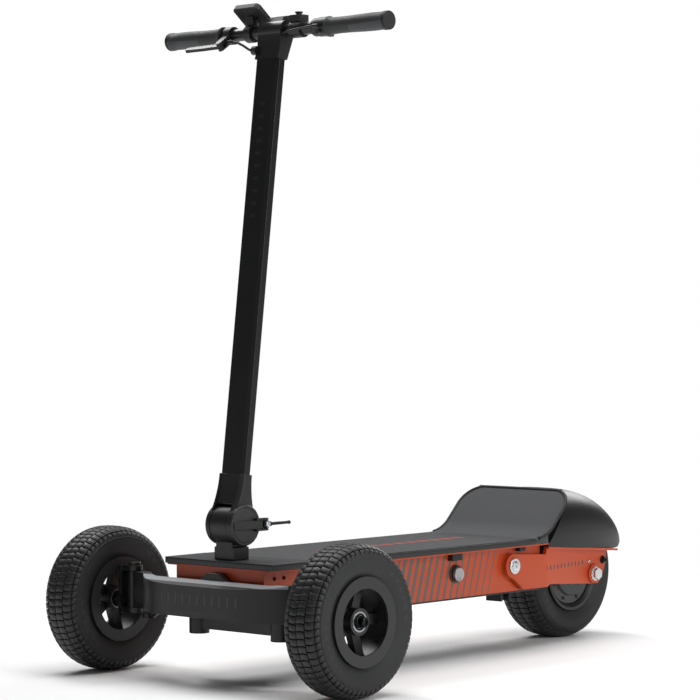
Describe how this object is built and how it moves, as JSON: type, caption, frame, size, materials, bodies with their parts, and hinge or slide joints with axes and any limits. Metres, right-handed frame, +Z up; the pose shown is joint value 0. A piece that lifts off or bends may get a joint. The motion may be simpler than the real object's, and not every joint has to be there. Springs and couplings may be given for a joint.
{
  "type": "three-wheel electric board",
  "caption": "Stand-on electric board with a leaning front beam and steering wheels, box chassis, hub-motor rear wheel under a fender, and a folding stem with handlebar.",
  "frame": {"origin": "on the ground under the middle of the bounding box", "axes": "+X to the rider's left, -Y forward, +Z up"},
  "size_m": [0.666, 1.198, 1.1933],
  "materials": {
    "orange_paint": "satin powder coat",
    "black_steel": "satin black powder coat on steel",
    "black_coat": "satin black powder coat",
    "deck_coat": "satin grey coat",
    "grip_sheet": "gritty grip sheet",
    "tyre_rubber": "matte rubber",
    "soft_rubber": "matte rubber",
    "rim_alloy": "dark coated casting",
    "bright_steel": "zinc plated",
    "black_plastic": "moulded plastic",
    "lever_alloy": "black anodised",
    "battery_wrap": "shrink wrap",
    "controller_case": "finned extrusion",
    "copper_winding": "lacquered winding",
    "screen_glass": "clear over black",
    "cable_jacket": "cable jacket"
  },
  "bodies": {
    "chassis": {"side_rail_left": "orange_paint", "side_rail_right": "orange_paint", "front_wall": "orange_paint", "rear_wall": "orange_paint", "bottom_cover": "black_coat", "deck_board": "black_coat", "front_plate": "deck_coat", "grip_tape": "grip_sheet", "kick_panel": "grip_sheet", "battery_pack": "battery_wrap", "motor_controller": "controller_case", "handle_post": "black_steel", "hinge_axle": "bright_steel", "hinge_cap": "deck_coat", "charge_port": "black_plastic", "gable_bracket": "black_steel", "lean_pin": "bright_steel", "steering_bracket": "black_steel", "pivot_shaft": "bright_steel", "bump_blocks": "soft_rubber", "suspension_rubber": "soft_rubber", "chassis_screws": "bright_steel"},
    "fold_lever": {"fold_lever": "deck_coat"},
    "front_beam": {"front_beam": "black_coat", "lean_bush": "soft_rubber", "kingpins": "bright_steel"},
    "tie_rod": {"tie_rod": "deck_coat"},
    "knuckle_left": {"knuckle_left": "black_steel", "stub_nuts_left": "bright_steel"},
    "knuckle_right": {"knuckle_right": "black_steel", "stub_nuts_right": "bright_steel"},
    "wheel_left": {"front_rim_left": "rim_alloy", "front_tyre_left": "tyre_rubber", "hub_bearings_left": "bright_steel"},
    "wheel_right": {"front_rim_right": "rim_alloy", "front_tyre_right": "tyre_rubber", "hub_bearings_right": "bright_steel"},
    "swing_arm": {"swing_arm": "orange_paint", "rear_axle": "bright_steel", "motor_stator": "copper_winding", "fender": "black_plastic", "fender_tip": "black_plastic"},
    "rear_wheel": {"motor_shell": "rim_alloy", "motor_covers": "rim_alloy", "rear_tyre": "tyre_rubber"},
    "stem": {"stem_casting": "black_coat", "stem_tube": "black_coat", "stem_head": "black_coat", "handlebar": "black_coat", "grips": "soft_rubber", "grip_caps": "black_plastic", "display": "black_plastic", "display_screen": "screen_glass", "throttle_clamp": "black_plastic", "brake_perch": "black_plastic", "switch_pod": "black_plastic", "control_cables": "cable_jacket"},
    "throttle_paddle": {"throttle_paddle": "black_plastic"},
    "brake_lever": {"brake_lever": "lever_alloy"},
    "horn_button": {"horn_button": "black_plastic"}
  },
  "joints": [
    {"name": "lean", "type": "hinge", "parent": "chassis", "child": "front_beam", "pos_m": [0, -0.469, 0.15], "axis": [0, 1, 0], "range_deg": [-12, 12], "stiffness_Nm_per_rad": 250},
    {"name": "tie_rod_slide", "type": "slide", "parent": "front_beam", "child": "tie_rod", "axis": [1, 0, 0], "range_m": [-0.0056, 0.0056]},
    {"name": "steer_left", "type": "hinge", "parent": "front_beam", "child": "knuckle_left", "pos_m": [0.226, -0.469, 0.13], "axis": [0, 0, 1], "range_deg": [-10.6, 10.6]},
    {"name": "steer_right", "type": "hinge", "parent": "front_beam", "child": "knuckle_right", "pos_m": [-0.226, -0.469, 0.13], "axis": [0, 0, 1], "range_deg": [-10.6, 10.6]},
    {"name": "spin_left", "type": "hinge", "parent": "knuckle_left", "child": "wheel_left", "pos_m": [0.294, -0.469, 0.13], "axis": [1, 0, 0], "continuous": true},
    {"name": "spin_right", "type": "hinge", "parent": "knuckle_right", "child": "wheel_right", "pos_m": [-0.294, -0.469, 0.13], "axis": [1, 0, 0], "continuous": true},
    {"name": "suspension", "type": "hinge", "parent": "chassis", "child": "swing_arm", "pos_m": [0, 0.185, 0.165], "axis": [1, 0, 0], "range_deg": [0, 2], "stiffness_Nm_per_rad": 2500, "springref_deg": -3.44},
    {"name": "spin_rear", "type": "hinge", "parent": "swing_arm", "child": "rear_wheel", "pos_m": [0, 0.461, 0.13], "axis": [1, 0, 0], "continuous": true},
    {"name": "stem_fold", "type": "hinge", "parent": "chassis", "child": "stem", "pos_m": [0, -0.45, 0.275], "axis": [1, 0, 0], "range_deg": [-78, 0]},
    {"name": "fold_latch", "type": "hinge", "parent": "chassis", "child": "fold_lever", "pos_m": [0.0385, -0.405, 0.275], "axis": [0, 0, 1], "range_deg": [-100, 0]},
    {"name": "throttle", "type": "hinge", "parent": "stem", "child": "throttle_paddle", "pos_m": [0.1015, -0.33354, 1.141], "axis": [1, 0, 0], "range_deg": [-25, 0], "stiffness_Nm_per_rad": 0.3, "springref_deg": 11.46},
    {"name": "brake", "type": "hinge", "parent": "stem", "child": "brake_lever", "pos_m": [-0.111, -0.36221, 1.12092], "axis": [0, -0.5736, 0.8192], "range_deg": [-12, 0], "stiffness_Nm_per_rad": 1.5, "springref_deg": 11.46},
    {"name": "horn", "type": "slide", "parent": "stem", "child": "horn_button", "axis": [0, 0, -1], "range_m": [0, 0.002], "stiffness_N_per_m": 400, "springref_m": -0.002}
  ],
  "couplings": [
    {"joint": "tie_rod_slide", "follows": "lean", "m_per_rad": 0.026},
    {"joint": "steer_left", "follows": "lean", "ratio": -0.86667},
    {"joint": "steer_right", "follows": "lean", "ratio": -0.86667}
  ]
}
